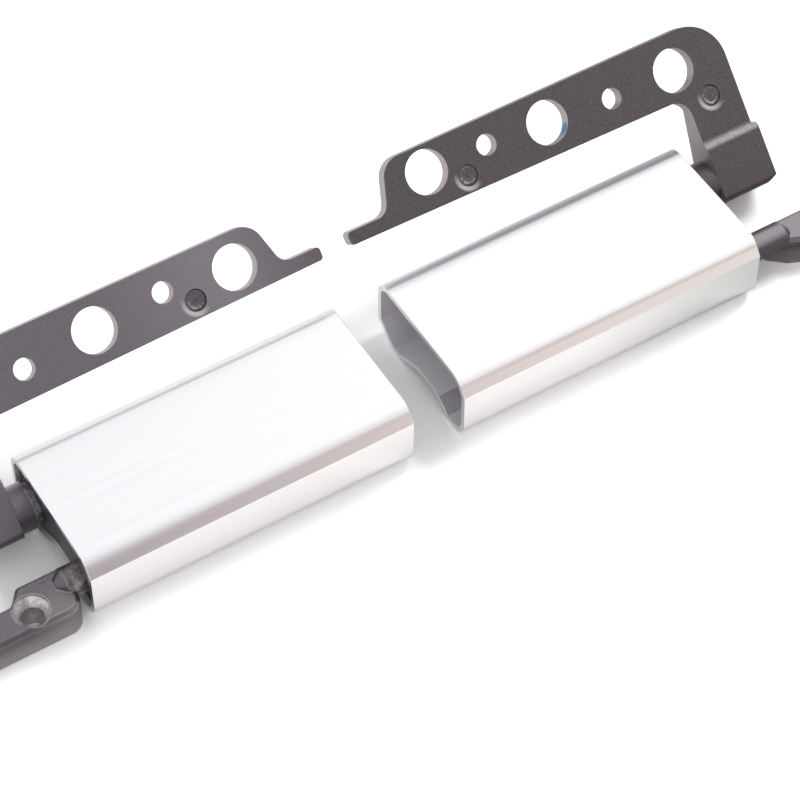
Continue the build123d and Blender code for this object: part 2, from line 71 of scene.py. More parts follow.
# The roll that polishing leaves on their rear edge: its width, the shading
# normal's tilt on the left and on the right hinge, and the added roughness
ROLL_WIDTH = 3.2 * MM
ROLL_TILTS = (0.03, 0.26)
ROLL_LEVEL = (0.7, 1.0)
ROLL_DULLING = 1.5
# The bore is duller and less metallic than the outside
BORE_DULLING = 0.8
BORE_METAL_LOSS = 0.7

# Display strips: a plane through the rear shaft's axis that rises at 45 degrees
REAR_SHAFT = Vector((0, 1.093, 3.55)) * MM
STRIP_UP = Vector((0, cos(radians(45)), sin(radians(45))))
STRIP_NORMAL = Vector((0, -sin(radians(45)), cos(radians(45))))
STRIP_FACE_RISE = 2.1 * MM
# The ridge where each knuckle rises from its strip, which carries a painted highlight: up the
# plane, and above it
RIDGE_UP = 4.0 * MM
RIDGE_RISE = 2.4 * MM
RIDGE_REACH = (0.6 * MM, 0.25 * MM)
# The blue ink mark on the wall of the right strip's middle hole
INK_HOLE = "right_display_hole_2"
INK_OUT = 1.87 * MM
INK_DOWN = 1.45 * MM
INK_RADIUS = 0.85 * MM

# Punched dimples, in millimetres out from the sleeve's inner end and up the strip
DIMPLE_PLACES = {"right": ((13.0, 11.7), (42.0, 8.7)), "left": ((13.0, 11.7), (41.0, 8.7))}
# Their lips are highest, and their painted glints brightest, towards this turn, counted from +X
# to the strip's rise
DIMPLE_GLINT_TURN = radians(235)
DIMPLE_GLINT_REACH = (1.7 * MM, 1.45 * MM)
DIMPLE_GLINT_SIDE = (0.2 * MM, 1.4 * MM)
# Their floors: rise above the strip's plane and radius, rings and steps of the
# mesh, heights of hub and crust, the rim's height, least share, place and spread
# as shares of the radius, the skirt's depth, and the heights that carry a painted glint
FLOOR_RISE = 1.85 * MM
FLOOR_RADIUS = 1.13 * MM
FLOOR_RINGS = 10
FLOOR_STEPS = 40
FLOOR_LIFT = 0.01 * MM
FLOOR_HUB = 0.03 * MM
FLOOR_CRUST = 0.11 * MM
FLOOR_RIM = 0.12 * MM
FLOOR_RIM_LEAST = 0.25
FLOOR_RIM_AT = 0.72
FLOOR_RIM_SPREAD = 0.18
FLOOR_SKIRT = 0.06 * MM
FLOOR_GLINT_HEIGHTS = (0.11 * MM, 0.22 * MM)
FLOOR_FIRST_SEED = 11

# Base bars: the screw seats' radius and least height
SEAT_RADIUS = 1.93 * MM
SEAT_FOOT = 0.05 * MM
# Painted light on the bars: a paler top, a painted sheen, as shares for the left
# and the right bar, and a painted reflection of the table towards the foot of the
# sides; the levels are limits of the surface direction's Z
BAR_TOP_LEVEL = (0.6, 0.95)
BAR_TOP_SHARES = (0.22, 1.0)
BAR_SIDE_LEVEL = (0.4, 0.8)
BAR_FOOT = (2.6 * MM, 0.2 * MM)
BAR_FOOT_SHARE = 0.8
# The left bar's corner by the sleeve, which carries a painted highlight, with shares off and on
# its edges
BAR_CORNER = (-40.9 * MM, -12.3 * MM, 3.7 * MM)
BAR_CORNER_REACH = (4.5 * MM, 0.8 * MM)
BAR_CORNER_SHARES = (0.12, 0.8)

# Along X, a painted sheen makes the left hinge's plating paler, then fades by half
SHEEN_GROWS_FROM_TO = (2 * MM, -12 * MM)
SHEEN_FADES_FROM_TO = (-14 * MM, -27 * MM)
SHEEN_FADED_SHARE = 0.5
LEFT_SHEEN_TONE = (0.42, 0.395, 0.445)

# A hub's painted glint by the sleeve is fully bright within this share of its length
HUB_BRIGHT = 0.7
# Patches that break up the painted glints, highlight and shine: a noise's scale, detail and
# roughness, its limits, and the least share
HUB_GLINT_NOISE = ((1500.0, 4.0, 0.7), 0.42, 0.62, 0.1)
RIDGE_HIGHLIGHT_NOISE = ((1900.0, 3.0, 0.7), 0.25, 0.65, 0.35)
SEAT_SHINE_NOISE = ((1300.0, 4.0, 0.65), 0.35, 0.62, 0.4)
# Rubbed steel is this much lighter than the piece's light tone
RUBBED_GAIN = 1.6
RUBBED_LIFT = 0.06

# Thread of the shafts, shown where it leaves the nut, and the nut's turning
THREAD_PITCH = 0.4 * MM
THREAD_RADIUS = 1.1 * MM
THREAD_RIDGE = 0.12 * MM
THREAD_STEPS = 36
THREAD_SIDES = 5
NUT_BORE_RADIUS = 1.16 * MM
NUT_LEAD = 0.12 * MM
NUT_STEPS = 72
NUT_CROWN = 0.93
NUT_CONE = 0.55

# Table: half its width, its tone for plain light, for the camera, and for the
# metal, where it is brighter in front of the pair and darker to the right
TABLE_REACH = 3.0
TABLE_WHITE = 0.93
TABLE_SEEN = 1.42
TABLE_TINT = (1.0, 0.985, 0.96)
TABLE_NEAR = (-45 * MM, -22 * MM)
TABLE_IN_METAL = (1.3, 1.06)
TABLE_DUSK = (20 * MM, 42 * MM, 1.0, 0.62)
# Card for a painted reflection of shade behind the right hinge: its ends, distance behind, foot
# and head
REAR_SHADE_CARD = (17 * MM, 110 * MM, 50 * MM, 3 * MM, 44 * MM)
SHADE_CARD_TONE = (0.27, 0.26, 0.30)

# Tent and its dim opening in front. Pairs are for the left and the right.
# OPENING_LEFT and OPENING_SPREAD are limits of the ray's X, heights are degrees
# above the front horizon, and OPENING_BAR is a band's foot, middle, head, depth.
SOFT_LIGHT = 0.60
OPENING_LEFT = (-0.12, 0.1)
OPENING_SPREAD = (0.2, 0.37)
OPENING_FOOT = (17.0, 22.0)
OPENING_TOP = (84.0, 60.0)
OPENING_TONES = ((0.26, 0.22, 0.262), (0.92, 0.81, 0.76))
OPENING_BAR = (18.0, 29.0, 40.0, 0.5)
OPENING_BAR_TONE = (0.2, 0.19, 0.2)
TENT_TONES = ((0.955, 0.95, 0.965), (1.14, 1.14, 1.14))

# The one lamp, a square soft box that faces the pair
LAMP_PLACE = (0.395, 0.106, 0.437)
LAMP_SIZE = 0.22
LAMP_ENERGY = 1.85
LAMP_COLOUR = (1.0, 0.995, 0.99)


# Small helpers for node trees ------------------------------------------------

FLOAT = "NodeSocketFloat"
VECTOR = "NodeSocketVector"
# A colour Mix node's sockets by number, because several share a name
MIX_SHARE, MIX_FIRST, MIX_SECOND, MIX_RESULT = 0, 6, 7, 2
# Vector Math operations that give a number
MEASURES = ("DOT_PRODUCT", "DISTANCE", "LENGTH")


def is_socket(item):
    return isinstance(item, bpy.types.NodeSocket)


def add_node(tree, kind, values=None, **settings):
    """A node with its settings. Its sockets, by name or number, take values or links."""
    made = tree.nodes.new(kind)
    for key, value in settings.items():
        setattr(made, key, value)
    for key, value in (values or {}).items():
        if is_socket(value):
            tree.links.new(value, made.inputs[key])
        else:
            made.inputs[key].default_value = value
    return made


def arithmetic(tree, operation, *terms, clamp=False):
    """A Math node's result. Each term is a number or a socket."""
    made = add_node(
        tree, "ShaderNodeMath", dict(enumerate(terms)), operation=operation, use_clamp=clamp
    )
    return made.outputs[0]


def product(tree, first, *others):
    for other in others:
        first = arithmetic(tree, "MULTIPLY", first, other)
    return first


def on_vectors(tree, operation, *terms):
    """A Vector Math node's number or vector. Each term is a vector or a socket."""
    values = {place: item if is_socket(item) else tuple(item) for place, item in enumerate(terms)}
    made = add_node(tree, "ShaderNodeVectorMath", values, operation=operation)
    return made.outputs["Value" if operation in MEASURES else "Vector"]


def ranged(tree, value, low, high, first=0.0, last=1.0, **settings):
    """A value mapped from low..high to first..last. Each limit is a number or a socket."""
    values = dict(enumerate((value, low, high, first, last)))
    return add_node(tree, "ShaderNodeMapRange", values, **settings).outputs[0]


def blended(tree, share, first, second):
    """Two colours mixed by a share. Each is a socket or three numbers."""
    first, second = (item if is_socket(item) else (*item, 1) for item in (first, second))
    values = {MIX_SHARE: share, MIX_FIRST: first, MIX_SECOND: second}
    return add_node(tree, "ShaderNodeMix", values, data_type="RGBA").outputs[MIX_RESULT]


def layered(tree, tone, layers):
    """A tone with colours laid over it in turn: rows of mask, strength and colour."""
    for mask, strength, colour in layers:
        tone = blended(tree, product(tree, mask, strength), tone, colour)
    return tone


def noise(tree, place, scale, detail, roughness):
    values = {"Vector": place, "Scale": scale, "Detail": detail, "Roughness": roughness}
    return add_node(tree, "ShaderNodeTexNoise", values).outputs["Fac"]


def position(tree):
    """The shaded point's place in the part's frame."""
    return add_node(tree, "ShaderNodeTexCoord").outputs["Object"]


def outward(tree):
    """The surface's direction in the part's frame."""
    return add_node(tree, "ShaderNodeTexCoord").outputs["Normal"]


def along_axes(tree, vector):
    """A vector's X, Y and Z sockets."""
    return add_node(tree, "ShaderNodeSeparateXYZ", {0: vector}).outputs


def soft_edges(tree, radius):
    """The surface's direction, with its true edges rounded a little for the light."""
    return add_node(tree, "ShaderNodeBevel", {"Radius": radius}, samples=6).outputs[0]


def effect(name, inputs, outputs):
    """A new shader node group: its tree, its given sockets and its result sockets."""
    tree = bpy.data.node_groups.new(name, "ShaderNodeTree")
    for label, kind, value in inputs:
        socket = tree.interface.new_socket(label, in_out="INPUT", socket_type=kind)
        socket.default_value = value
    for label, kind in outputs:
        tree.interface.new_socket(label, in_out="OUTPUT", socket_type=kind)
    given = tree.nodes.new("NodeGroupInput")
    result = tree.nodes.new("NodeGroupOutput")
    return tree, given.outputs, result.inputs


def use_effect(tree, group, values=None):
    """The outputs of an effect, placed with its own values."""
    return add_node(tree, "ShaderNodeGroup", values, node_tree=group).outputs


# Effects that several finishes share -----------------------------------------


def make_drawn_lines():
    """Fine lines along the shafts, left by extruding and brushing."""
    tree, given, result = effect(
        "drawn_lines",
        [("Across", FLOAT, 9000.0), ("Along", FLOAT, 45.0), ("Band Across", FLOAT, 1300.0)],
        [("Lines", FLOAT), ("Bands", FLOAT)],
    )
    x, y, z = along_axes(tree, position(tree))
    for across, along, detail, output in (
        (given["Across"], given["Along"], 4.0, "Lines"),
        (given["Band Across"], 6.0, 2.0, "Bands"),
    ):
        scaled = (product(tree, x, along), product(tree, y, across), product(tree, z, across))
        stretched = add_node(tree, "ShaderNodeCombineXYZ", dict(enumerate(scaled)))
        lines = noise(tree, stretched.outputs[0], 1.0, detail, 0.65)
        tree.links.new(lines, result[output])
    return tree


def make_steel_grain():
    """The fine grain of plated steel, its clouds, and sparse pale specks."""
    tree, given, result = effect(
        "steel_grain",
        [
            ("Grain Scale", FLOAT, 5200.0),
            ("Speck Scale", FLOAT, 1100.0),
            ("Speck Size", FLOAT, 0.07),
        ],
        [("Grain", FLOAT), ("Specks", FLOAT), ("Clouds", FLOAT)],
    )
    place = position(tree)
    values = {"Vector": place, "Scale": given["Speck Scale"], "Randomness": 1.0}
    cells = add_node(tree, "ShaderNodeTexVoronoi", values).outputs
    near = arithmetic(tree, "LESS_THAN", cells["Distance"], given["Speck Size"])
    draw = add_node(tree, "ShaderNodeSeparateColor", {0: cells["Color"]}).outputs[0]
    chosen = arithmetic(tree, "GREATER_THAN", draw, 0.55)
    tree.links.new(noise(tree, place, given["Grain Scale"], 5.0, 0.7), result["Grain"])
    tree.links.new(noise(tree, place, 260.0, 3.0, 0.55), result["Clouds"])
    tree.links.new(product(tree, near, chosen), result["Specks"])
    return tree


def make_edge_wear():
    """Where a surface bends sharply, broken up by noise."""
    tree, given, result = effect(
        "edge_wear",
        [("Radius", FLOAT, 0.12 * MM), ("Gain", FLOAT, 6.0), ("Patch Scale", FLOAT, 900.0)],
        [("Edge", FLOAT)],
    )
    plain = add_node(tree, "ShaderNodeNewGeometry").outputs["Normal"]
    agree = on_vectors(tree, "DOT_PRODUCT", soft_edges(tree, given["Radius"]), plain)
    bend = arithmetic(tree, "SUBTRACT", 1.0, agree)
    bend = arithmetic(tree, "MULTIPLY", bend, given["Gain"], clamp=True)
    patches = noise(tree, position(tree), given["Patch Scale"], 3.0, 0.6)
    tree.links.new(product(tree, bend, ranged(tree, patches, 0.3, 0.6)), result["Edge"])
    return tree


def make_cut_walls():
    """The punched walls of a flat part: faces square to its flat sides."""
    tree, given, result = effect(
        "cut_walls", [("Flat Normal", VECTOR, (0.0, 0.0, 1.0))], [("Walls", FLOAT)]
    )
    along = on_vectors(tree, "DOT_PRODUCT", outward(tree), given["Flat Normal"])
    square = arithmetic(tree, "SUBTRACT", 1.0, arithmetic(tree, "ABSOLUTE", along))
    tree.links.new(ranged(tree, square, 0.55, 0.95), result["Walls"])
    return tree


def make_bore_side():
    """The inner wall of a tube that runs along X: it faces the tube's middle."""
    tree, given, result = effect(
        "bore_side", [("Middle", VECTOR, (0.0, 0.0, 0.0))], [("Inside", FLOAT)]
    )
    away = on_vectors(tree, "SUBTRACT", position(tree), given["Middle"])
    across = on_vectors(tree, "MULTIPLY", away, (0, 1, 1))
    facing = on_vectors(tree, "DOT_PRODUCT", across, outward(tree))
    tree.links.new(arithmetic(tree, "LESS_THAN", facing, -1e-6), result["Inside"])
    return tree


def make_spot():
    """A soft-edged round patch about a point, with a ragged outline."""
    tree, given, result = effect(
        "spot",
        [("Centre", VECTOR, (0.0, 0.0, 0.0)), ("Radius", FLOAT, 0.5 * MM)],
        [("Spot", FLOAT)],
    )
    place = position(tree)
    reach = on_vectors(tree, "DISTANCE", place, given["Centre"])
    share = arithmetic(tree, "DIVIDE", reach, given["Radius"])
    ragged = arithmetic(tree, "SUBTRACT", noise(tree, place, 2600.0, 2.0, 0.5), 0.5)
    share = arithmetic(tree, "ADD", share, ragged)
    tree.links.new(ranged(tree, share, 1.0, 0.6), result["Spot"])
    return tree


DRAWN_LINES = make_drawn_lines()
STEEL_GRAIN = make_steel_grain()
EDGE_WEAR = make_edge_wear()
CUT_WALLS = make_cut_walls()
BORE_SIDE = make_bore_side()
SPOT = make_spot()


# Masks for single places -----------------------------------------------------


def strip_point(side, x, up, rise):
    """A point on a display strip: out from the sleeve, up the strip, above its plane."""
    outwards = 1 if side == "right" else -1
    start = REAR_SHAFT + Vector((outwards * (SLEEVE_INNER_END + x), 0, 0))
    return start + up * STRIP_UP + rise * STRIP_NORMAL


def patchy_shares(tree, grain, low, high, least):
    """Noise as shares, from the least one to all."""
    return ranged(tree, noise(tree, position(tree), *grain), low, high, least, 1.0)


def rolled_rear_edge(tree, facing):
    """The direction of the sleeves' top, tilted along its rear edge, and where."""
    x, y, _ = along_axes(tree, position(tree))
    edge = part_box("right_cover_sleeve")[1].y
    roll = ranged(tree, y, edge - ROLL_WIDTH, edge, interpolation_type="SMOOTHSTEP")
    by_side = ranged(tree, x, -MM, MM, *ROLL_TILTS)
    level = ranged(tree, along_axes(tree, facing)[2], *ROLL_LEVEL)
    tilt = add_node(tree, "ShaderNodeCombineXYZ", {1: product(tree, roll, by_side, level)})
    tilted = on_vectors(tree, "ADD", facing, tilt.outputs[0])
    return on_vectors(tree, "NORMALIZE", tilted), roll


def painted_left_sheen(tree, gain):
    """A painted sheen that makes the plating a little paler on the left hinge."""
    x = along_axes(tree, position(tree))[0]
    paler = ranged(tree, x, *SHEEN_GROWS_FROM_TO, 0.0, gain)
    return product(tree, paler, ranged(tree, x, *SHEEN_FADES_FROM_TO, 1.0, SHEEN_FADED_SHARE))


def painted_hub_glints(tree, reach, height):
    """Painted glints where a hub turns close to the sleeve's outer end."""
    x, _, z = along_axes(tree, position(tree))
    along = arithmetic(tree, "ABSOLUTE", x)
    start, end = (SLEEVE_OUTER_END + share * reach for share in (1, HUB_BRIGHT))
    low = arithmetic(tree, "LESS_THAN", z, height)
    return product(tree, ranged(tree, along, start, end), low, patchy_shares(tree, *HUB_GLINT_NOISE))


def painted_dimple_glints(tree):
    """A painted glint on one side of the lip that punching threw up round each dimple."""
    place = position(tree)
    towards = cos(DIMPLE_GLINT_TURN) * Vector((1, 0, 0)) + sin(DIMPLE_GLINT_TURN) * STRIP_UP
    lips = 0.0
    for side in SIDES:
        for x, up in DIMPLE_PLACES[side]:
            centre = strip_point(side, x * MM, up * MM, STRIP_FACE_RISE)
            away = on_vectors(tree, "SUBTRACT", place, centre)
            ring = ranged(tree, on_vectors(tree, "LENGTH", away), *DIMPLE_GLINT_REACH)
            along = on_vectors(tree, "DOT_PRODUCT", away, towards)
            bright = ranged(tree, along, *DIMPLE_GLINT_SIDE)
            lips = arithmetic(tree, "ADD", product(tree, ring, bright), lips)
    return lips


def painted_ridge_highlight(tree):
    """A painted highlight: a pale band along the ridge of the display knuckles, broken up by
    noise.
    """
    ridge = REAR_SHAFT + RIDGE_UP * STRIP_UP + RIDGE_RISE * STRIP_NORMAL
    away = on_vectors(tree, "SUBTRACT", position(tree), ridge)
    across = on_vectors(tree, "MULTIPLY", away, (0, 1, 1))
    close = ranged(tree, on_vectors(tree, "LENGTH", across), *RIDGE_REACH)
    return product(tree, close, patchy_shares(tree, *RIDGE_HIGHLIGHT_NOISE))


def ink_mark(tree):
    hole = next(m for m in frame["record"]["mounts"] if m["name"] == INK_HOLE)
    centre = Vector(hole["pos_m"]) + Vector((INK_OUT, 0, 0)) - INK_DOWN * STRIP_UP
    return use_effect(tree, SPOT, {"Centre": tuple(centre), "Radius": INK_RADIUS})["Spot"]


def screw_seat_shine(tree):
    """Painted shine on the walls of the base bars' round screw seats, from the record's screws.
    """
    place = position(tree)
    flat = on_vectors(tree, "MULTIPLY", place, (1, 1, 0))
    inside = 0.0
    for mount in frame["record"]["mounts"]:
        if mount["kind"] != "bolt_pattern":
            continue
        x, y, _ = mount["pos_m"]
        for way in (-0.5, 0.5):
            seat = (x + way * mount["dims"]["spacing_x_mm"] * MM, y, 0)
            reach = on_vectors(tree, "DISTANCE", flat, seat)
            close = arithmetic(tree, "LESS_THAN", reach, SEAT_RADIUS)
            inside = arithmetic(tree, "ADD", close, inside)
    above = arithmetic(tree, "GREATER_THAN", along_axes(tree, place)[2], SEAT_FOOT)
    return product(tree, inside, above, patchy_shares(tree, *SEAT_SHINE_NOISE))


def painted_face_light(tree):
    """Shares of painted light on the bars: a sheen on top, and a reflection of the table towards
    the foot of their sides.
    """
    x, _, z = along_axes(tree, position(tree))
    turned = along_axes(tree, outward(tree))[2]
    by_side = ranged(tree, x, -MM, MM, *BAR_TOP_SHARES)
    painted_top_sheen = product(tree, ranged(tree, turned, *BAR_TOP_LEVEL), by_side)
    upright = ranged(tree, arithmetic(tree, "ABSOLUTE", turned), *BAR_SIDE_LEVEL, 1.0, 0.0)
    low = ranged(tree, z, *BAR_FOOT, 0.0, BAR_FOOT_SHARE)
    return painted_top_sheen, product(tree, low, upright)


def painted_corner_highlight(tree, edge):
    """A painted highlight on the left bar's corner by the sleeve, brightest along its edges."""
    reach = on_vectors(tree, "DISTANCE", position(tree), BAR_CORNER)
    near = ranged(tree, reach, *BAR_CORNER_REACH)
    return product(tree, near, ranged(tree, edge, 0.0, 1.0, *BAR_CORNER_SHARES))


# Finishes --------------------------------------------------------------------


def new_finish(name, metallic):
    """A material, its node tree and its Principled shader."""
    made = bpy.data.materials.new(name)
    made.use_nodes = True
    shader = made.node_tree.nodes["Principled BSDF"]
    shader.inputs["Metallic"].default_value = metallic
    return made, made.node_tree, shader


def rough_between(tree, shader, value, low, high):
    rough = ranged(tree, value, 0.0, 1.0, low, high, clamp=False)
    tree.links.new(rough, shader.inputs["Roughness"])


def raised_by(tree, shader, height, distance, strength, base=None):
    """A bump on the shader, over a base direction if one is given."""
    values = {"Height": height, "Distance": distance, "Strength": strength}
    if base is not None:
        values["Normal"] = base
    bump = add_node(tree, "ShaderNodeBump", values)
    tree.links.new(bump.outputs[0], shader.inputs["Normal"])


def sleeve_aluminium():
    """Silver anodised aluminium, brushed along its length, dull inside."""
    made, tree, shader = new_finish("sleeve_aluminium", 1.0)
    lines = use_effect(tree, DRAWN_LINES)
    low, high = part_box("right_cover_sleeve")
    middle = (0, (low.y + high.y) / 2, SLEEVE_BORE_HEIGHT)
    inside = use_effect(tree, BORE_SIDE, {"Middle": middle})["Inside"]
    wear = use_effect(tree, EDGE_WEAR, {"Radius": 0.14 * MM, "Gain": 5.0})["Edge"]
    streaks = ranged(tree, lines["Lines"], 0.32, 0.68)
    tone = blended(tree, streaks, (0.93, 0.925, 0.945), (0.985, 0.98, 0.99))
    layers = (
        (ranged(tree, lines["Bands"], 0.3, 0.7), 0.3, (0.90, 0.895, 0.925)),
        (inside, 1.0, (0.92, 0.90, 0.94)),
        (wear, 1.0, (0.99, 0.99, 0.99)),
    )
    tree.links.new(layered(tree, tone, layers), shader.inputs["Base Color"])
    facing, roll = rolled_rear_edge(tree, soft_edges(tree, 0.12 * MM))
    rough = arithmetic(tree, "ADD", lines["Lines"], product(tree, inside, BORE_DULLING))
    rough = arithmetic(tree, "ADD", rough, product(tree, roll, ROLL_DULLING))
    rough_between(tree, shader, rough, 0.14, 0.30)
    metal = arithmetic(tree, "MULTIPLY_ADD", inside, -BORE_METAL_LOSS, 1.0)
    tree.links.new(metal, shader.inputs["Metallic"])
    raised_by(tree, shader, lines["Lines"], 0.006 * MM, 0.5, facing)
    return made


def bracket_steel():
    """Black-plated steel: fine grain, pale specks, punched walls of bare steel painted brighter
    still as a painted reflection of the white table.
    """
    made, tree, shader = new_finish("bracket_steel", 0.75)
    grain = use_effect(tree, STEEL_GRAIN)
    walls = use_effect(tree, CUT_WALLS, {"Flat Normal": tuple(STRIP_NORMAL)})["Walls"]
    wear = use_effect(tree, EDGE_WEAR, {"Radius": 0.1 * MM, "Gain": 5.0})["Edge"]
    mottle = ranged(tree, grain["Grain"], 0.31, 0.69)
    tone = blended(tree, mottle, (0.074, 0.065, 0.074), (0.166, 0.153, 0.166))
    layers = (
        (grain["Clouds"], 0.4, (0.14, 0.128, 0.135)),
        # Painted sheen on the left hinge
        (painted_left_sheen(tree, 0.5), 1.0, LEFT_SHEEN_TONE),
        # Punched walls: bare sheared steel, painted paler still as a painted reflection of the
        # white table
        (walls, 0.9, (0.50, 0.46, 0.47)),
        # Painted highlight along the knuckle ridge
        (painted_ridge_highlight(tree), 0.85, (0.62, 0.60, 0.60)),
        # Painted glints on the dimple lips
        (painted_dimple_glints(tree), 0.9, (0.70, 0.68, 0.68)),
        # Painted glints on the hub by the sleeve
        (painted_hub_glints(tree, 0.4 * MM, 6.8 * MM), 0.9, (0.60, 0.575, 0.56)),
        (grain["Specks"], 0.6, (0.42, 0.40, 0.41)),
        (wear, 0.7, (0.38, 0.36, 0.37)),
        (product(tree, ink_mark(tree), walls), 0.85, (0.02, 0.22, 0.42)),
    )
    tree.links.new(layered(tree, tone, layers), shader.inputs["Base Color"])
    rough_between(tree, shader, grain["Grain"], 0.34, 0.52)
    raised_by(tree, shader, grain["Grain"], 0.01 * MM, 0.6, soft_edges(tree, 0.12 * MM))
    return made


def bar_steel():
    """The base bars: the same plating, a little glossier, with wider edge wear that doubles as a
    painted highlight on their rims.
    """
    made, tree, shader = new_finish("bar_steel", 0.8)
    grain = use_effect(tree, STEEL_GRAIN, {"Speck Size": 0.06})
    wear = use_effect(tree, EDGE_WEAR, {"Radius": 0.28 * MM, "Gain": 5.0})["Edge"]
    painted_top_sheen, low = painted_face_light(tree)
    mottle = ranged(tree, grain["Grain"], 0.31, 0.69)
    tone = blended(tree, mottle, (0.07, 0.06, 0.068), (0.15, 0.134, 0.147))
    layers = (
        # Painted sheen on the left hinge
        (painted_left_sheen(tree, 0.16), 1.0, LEFT_SHEEN_TONE),
        # Painted sheen on the bars' tops
        (painted_top_sheen, 1.0, (0.32, 0.30, 0.32)),
        # Painted reflection of the table low on the bars' sides
        (low, 1.0, (0.50, 0.465, 0.485)),
        # Painted highlight on the left bar's corner
        (painted_corner_highlight(tree, wear), 1.0, (0.85, 0.81, 0.79)),
        # Painted shine in the screw seats
        (screw_seat_shine(tree), 0.9, (0.80, 0.78, 0.80)),
        # Painted glints on the hub by the sleeve
        (painted_hub_glints(tree, 1.1 * MM, 9.0 * MM), 0.6, (0.62, 0.57, 0.52)),
        # Edge wear, wider and paler here, which also stands as a painted highlight along the rims
        (wear, 0.5, (0.60, 0.57, 0.58)),
        (grain["Specks"], 0.5, (0.35, 0.33, 0.34)),
    )
    tree.links.new(layered(tree, tone, layers), shader.inputs["Base Color"])
    rough_between(tree, shader, grain["Clouds"], 0.26, 0.42)
    raised_by(tree, shader, grain["Grain"], 0.01 * MM, 0.5, soft_edges(tree, 0.18 * MM))
    return made


def dimple_steel():
    """The bottoms of the punched dimples: dark, with a painted glint on the high spots."""
    made, tree, shader = new_finish("dimple_steel", 0.75)
    grain = use_effect(tree, STEEL_GRAIN, {"Speck Size": 0.12})
    height = on_vectors(tree, "DOT_PRODUCT", position(tree), STRIP_NORMAL)
    floor = REAR_SHAFT.dot(STRIP_NORMAL) + FLOOR_RISE
    low, high = FLOOR_GLINT_HEIGHTS
    # Painted glint on the floor's high spots
    brightened = ranged(tree, height, floor + low, floor + high, 0.0, 0.75)
    tone = blended(tree, grain["Grain"], (0.075, 0.068, 0.075), (0.20, 0.185, 0.195))
    tone = blended(tree, brightened, tone, (0.85, 0.82, 0.82))
    tree.links.new(tone, shader.inputs["Base Color"])
    rough_between(tree, shader, grain["Clouds"], 0.25, 0.4)
    raised_by(tree, shader, grain["Grain"], 0.01 * MM, 0.6)
    return made


def turned_steel(name, dark, light, low_rough, high_rough, metallic):
    """A turned, pressed or ground steel piece."""
    made, tree, shader = new_finish(name, metallic)
    grain = use_effect(tree, STEEL_GRAIN, {"Grain Scale": 7000.0, "Speck Size": 0.04})
    wear = use_effect(tree, EDGE_WEAR, {"Radius": 0.08 * MM, "Gain": 4.0})["Edge"]
    brightened = tuple(min(1.0, RUBBED_GAIN * part + RUBBED_LIFT) for part in light)
    tone = layered(tree, blended(tree, grain["Grain"], dark, light), ((wear, 0.6, brightened),))
    tree.links.new(tone, shader.inputs["Base Color"])
    rough_between(tree, shader, grain["Clouds"], low_rough, high_rough)
    raised_by(tree, shader, grain["Grain"], 0.006 * MM, 0.4, soft_edges(tree, 0.06 * MM))
    return made


# Rows of name, dark tone, light tone, least and most roughness, and metallic
TURNED_STEELS = (
    ("plate_steel", (0.08, 0.072, 0.084), (0.17, 0.16, 0.175), 0.38, 0.55, 0.6),
    ("shaft_steel", (0.26, 0.25, 0.26), (0.42, 0.41, 0.42), 0.18, 0.32, 1.0),
    ("washer_steel", (0.33, 0.32, 0.32), (0.50, 0.49, 0.48), 0.28, 0.42, 1.0),
    ("spring_steel", (0.14, 0.125, 0.12), (0.28, 0.26, 0.25), 0.25, 0.40, 1.0),
    ("nut_steel", (0.36, 0.35, 0.33), (0.54, 0.53, 0.50), 0.24, 0.38, 1.0),
)

FINISHES = {
    "sleeve_aluminium": sleeve_aluminium(),
    "bracket_steel": bracket_steel(),
    "bar_steel": bar_steel(),
    "dimple_steel": dimple_steel(),
    **{row[0]: turned_steel(*row) for row in TURNED_STEELS},
}


def dress_cad_nodes():
    slots = {row["node"]: row["material_slot"] for row in frame["record"]["subparts"]}
    for name, node in frame["nodes"].items():
        finish = "bar_steel" if name.endswith("base_bracket") else slots[name]
        node.data.materials.clear()
        node.data.materials.append(FINISHES[finish])


# Added pieces ----------------------------------------------------------------


def mesh_of(name, shape):
    """A mesh from a closed shape, with its faces turned outwards."""
    bmesh.ops.recalc_face_normals(shape, faces=shape.faces)
    mesh = bpy.data.meshes.new(name)
    shape.to_mesh(mesh)
    shape.free()
    return mesh


def joined_rows(shape, this, following):
    """A band of four-cornered faces between two closed rows of corners."""
    count = len(this)
    for step in range(count):
        after = (step + 1) % count
        shape.faces.new((this[step], this[after], following[after], following[step]))


def piece_from(name, mesh, body, finish=None):
    """A piece at the origin, riding on its body, with a finish if its mesh has none."""
    piece = bpy.data.objects.new(name, mesh)
    bpy.context.scene.collection.objects.link(piece)
    if finish is not None:
        mesh.materials.clear()
        mesh.materials.append(FINISHES[finish])
    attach(piece, body)
    return piece


def lathed_nut(node):
    """A hexagon nut whose corners are cut back by a turned cone."""
    low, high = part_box(node)
    middle = (low + high) / 2
    flat = (high.z - low.z) / 2
    half_side = pi / 6
    outline = []
    for step in range(NUT_STEPS):
        turn = tau * step / NUT_STEPS
        corner = (turn + half_side) % (2 * half_side) - half_side
        outline.append((turn, flat / cos(half_side - abs(corner))))
    rings = []
    for end, inward in ((low.x, 1), (high.x, -1)):
        face = [
            [(end + inward * NUT_LEAD, turn, NUT_BORE_RADIUS) for turn, _ in outline],
            [(end, turn, NUT_BORE_RADIUS + NUT_LEAD) for turn, _ in outline],
            [(end, turn, NUT_CROWN * flat) for turn, _ in outline],
            [
                (end + inward * NUT_CONE * (reach - NUT_CROWN * flat), turn, reach)
                for turn, reach in outline
            ],
        ]
        rings.extend(face if inward == 1 else face[::-1])
    shape = bmesh.new()
    rows = [
        [shape.verts.new((x, middle.y + r * cos(t), middle.z + r * sin(t))) for x, t, r in ring]
        for ring in rings
    ]
    for this, following in zip(rows, rows[1:] + rows[:1]):
        joined_rows(shape, this, following)
    return mesh_of(node, shape)


